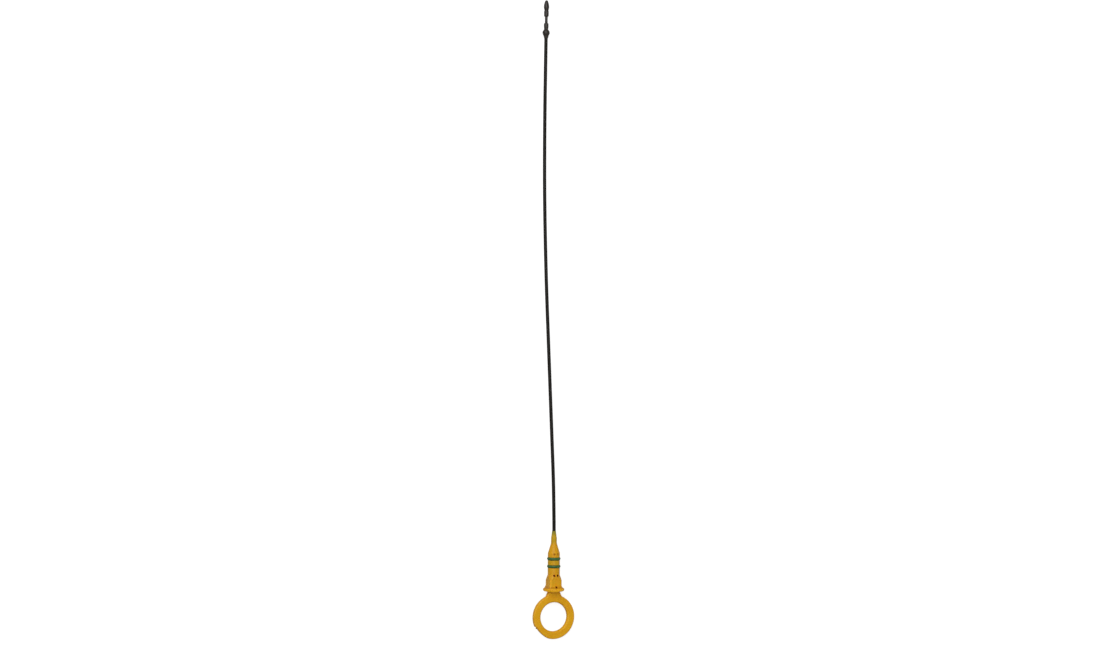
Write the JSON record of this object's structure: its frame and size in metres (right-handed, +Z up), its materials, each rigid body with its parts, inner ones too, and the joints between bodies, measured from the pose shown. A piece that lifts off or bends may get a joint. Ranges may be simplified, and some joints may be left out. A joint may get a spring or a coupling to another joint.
{
  "type": "engine oil dipstick",
  "caption": "Engine oil dipstick: finger-ring handle with a stop flange, square block and sealing rings on a round shank, and a long thin stem that ends in a level tip with a guide ball.",
  "frame": {"origin": "centre of the bounding box's base, on the table that the dipstick lies on", "axes": "+Y along the handle's axis from the ring to the tip, +Z up from the table, +X towards the ring's lower side"},
  "size_m": [0.035, 0.5346, 0.0179],
  "materials": {
    "handle": "satin yellow nylon",
    "seal": "satin green rubber",
    "stem": "satin black nylon",
    "tip": "satin black nylon"
  },
  "bodies": {
    "root": {"handle": "handle", "lower_o_ring": "seal", "upper_o_ring": "seal", "stem": "stem", "tip": "tip"}
  },
  "joints": []
}
